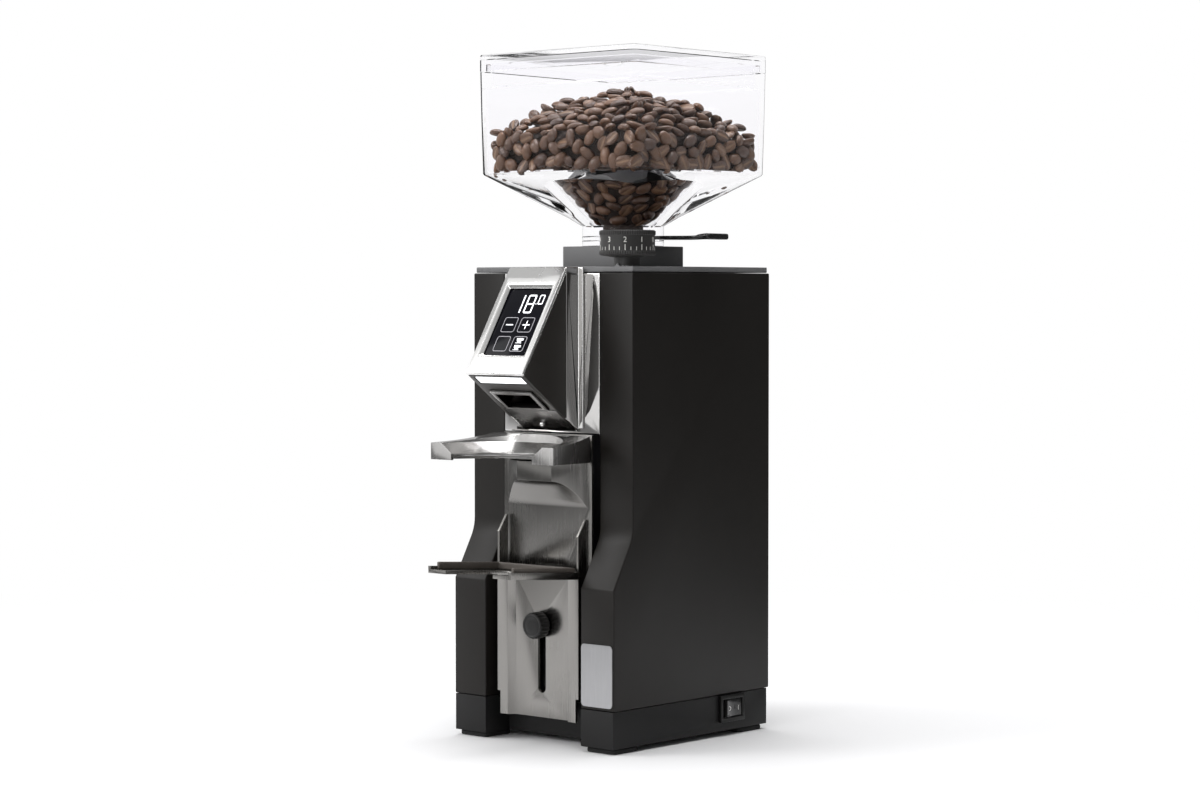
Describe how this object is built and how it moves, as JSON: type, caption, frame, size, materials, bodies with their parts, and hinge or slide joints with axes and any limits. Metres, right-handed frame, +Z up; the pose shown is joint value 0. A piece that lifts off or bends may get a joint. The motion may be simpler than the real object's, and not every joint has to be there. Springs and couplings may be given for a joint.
{
  "type": "burr coffee grinder",
  "caption": "Upright espresso burr grinder with a square clear hopper, a sloping display head, a dosing spout, a fixed upper fork and a height-adjustable lower fork.",
  "frame": {"origin": "middle of the machine's bounding box, at the underside of its feet on the worktop", "axes": "+Z up, +X to the object's right seen from its front, +Y from the front to the back"},
  "size_m": [0.131, 0.19, 0.3863],
  "materials": {
    "body_black": "satin powder coat",
    "cover_grey": "satin powder coat",
    "base_black": "fine-grained moulding",
    "foot_rubber": "matt",
    "brushed_steel": "brushed stainless sheet",
    "polished_steel": "polished stainless",
    "mirror_chrome": "polished chrome",
    "bezel_silver": "satin chrome",
    "head_black": "fine texture",
    "display_gloss": "black glass with white signs",
    "lamp_white": "lit diffuser",
    "clear_plastic": "clear moulded plastic",
    "roasted_beans": "roasted coffee beans",
    "knob_black": "moulded, white marks on the dial",
    "rocker_gloss": "gloss",
    "liner_rubber": "matt",
    "label_silver": "plain foil label",
    "cast_alloy": "cast and machined",
    "tool_steel": "ground steel",
    "motor_paint": "painted steel",
    "winding_copper": "enamelled copper wire",
    "inner_plastic": "moulded",
    "circuit_board": "printed board"
  },
  "bodies": {
    "machine": {"left_side_panel": "body_black", "right_side_panel": "body_black", "rear_panel": "body_black", "top_cover": "cover_grey", "hopper_seat_block": "cover_grey", "base_tray": "base_black", "cord_gland": "base_black", "switch_frame": "base_black", "foot_front_left": "foot_rubber", "foot_front_right": "foot_rubber", "foot_rear_left": "foot_rubber", "foot_rear_right": "foot_rubber", "front_panel": "brushed_steel", "upper_fork": "polished_steel", "clamp_stud": "polished_steel", "polished_plate": "mirror_chrome", "head_frame": "mirror_chrome", "display_bezel": "bezel_silver", "head_housing": "head_black", "underside_plate": "head_black", "spout_chute": "head_black", "display_glass": "display_gloss", "lamp_lens": "lamp_white", "hopper": "clear_plastic", "bean_heap": "roasted_beans", "leg_label": "label_silver", "grinding_chamber": "cast_alloy", "run_capacitor": "cast_alloy", "motor_bearing_upper": "tool_steel", "motor_bearing_lower": "tool_steel", "rear_screw_upper_left": "tool_steel", "rear_screw_upper_right": "tool_steel", "rear_screw_lower_left": "tool_steel", "rear_screw_lower_right": "tool_steel", "motor_housing": "motor_paint", "motor_stator": "motor_paint", "stator_winding_lower": "winding_copper", "stator_winding_upper": "winding_copper", "start_switch": "inner_plastic", "power_board": "circuit_board", "display_board": "circuit_board"},
    "lid": {"hopper_lid": "clear_plastic"},
    "gate": {"gate_slide": "knob_black"},
    "dial_group": {"dial": "knob_black", "dial_spindle": "tool_steel", "dial_pinion": "tool_steel"},
    "idler": {"idler_gear": "tool_steel"},
    "adjuster": {"adjuster_ring": "cast_alloy", "upper_burr_holder": "cast_alloy", "upper_burr": "tool_steel"},
    "drive": {"drive_shaft": "tool_steel", "motor_rotor": "tool_steel", "lower_burr_carrier": "cast_alloy", "lower_burr": "tool_steel", "cooling_fan": "inner_plastic"},
    "start": {"start_button": "polished_steel"},
    "rocker": {"power_rocker": "rocker_gloss"},
    "fork_carriage": {"fork_bracket": "brushed_steel", "fork_liner": "liner_rubber"},
    "knob": {"clamp_knob": "knob_black"}
  },
  "joints": [
    {"name": "lid_lift", "type": "slide", "parent": "machine", "child": "lid", "axis": [0, 0, 1], "range_m": [0, 0.12]},
    {"name": "gate_travel", "type": "slide", "parent": "machine", "child": "gate", "axis": [-1, 0, 0], "range_m": [0, 0.037]},
    {"name": "dial_turn", "type": "hinge", "parent": "machine", "child": "dial_group", "pos_m": [0.0422, -0.0191, 0.27], "axis": [0, 0, 1], "range_deg": [-36, 684]},
    {"name": "idler_turn", "type": "hinge", "parent": "machine", "child": "idler", "pos_m": [0.0279, -0.00375, 0.257], "axis": [0, 0, 1], "range_deg": [-343, 19]},
    {"name": "adjuster_turn", "type": "hinge", "parent": "machine", "child": "adjuster", "pos_m": [-0.0055, 0.0321, 0.257], "axis": [0, 0, 1], "range_deg": [-8, 138]},
    {"name": "drive_spin", "type": "hinge", "parent": "machine", "child": "drive", "pos_m": [-0.0055, 0.0321, 0.15], "axis": [0, 0, 1], "continuous": true},
    {"name": "start_press", "type": "slide", "parent": "machine", "child": "start", "axis": [0, 0.5799, 0.8147], "range_m": [0, 0.0018], "stiffness_N_per_m": 300},
    {"name": "rocker_tilt", "type": "hinge", "parent": "machine", "child": "rocker", "pos_m": [0.0509, 0.057, 0.0156], "axis": [0, 0, 1], "range_deg": [-14, 0]},
    {"name": "fork_height", "type": "slide", "parent": "machine", "child": "fork_carriage", "axis": [0, 0, 1], "range_m": [0, 0.027]},
    {"name": "knob_turn", "type": "hinge", "parent": "machine", "child": "knob", "pos_m": [-0.0055, -0.0415, 0.0664], "axis": [0, 1, 0], "range_deg": [0, 540]}
  ],
  "couplings": [
    {"joint": "idler_turn", "follows": "dial_turn", "ratio": -0.5},
    {"joint": "adjuster_turn", "follows": "dial_turn", "ratio": 0.2}
  ]
}
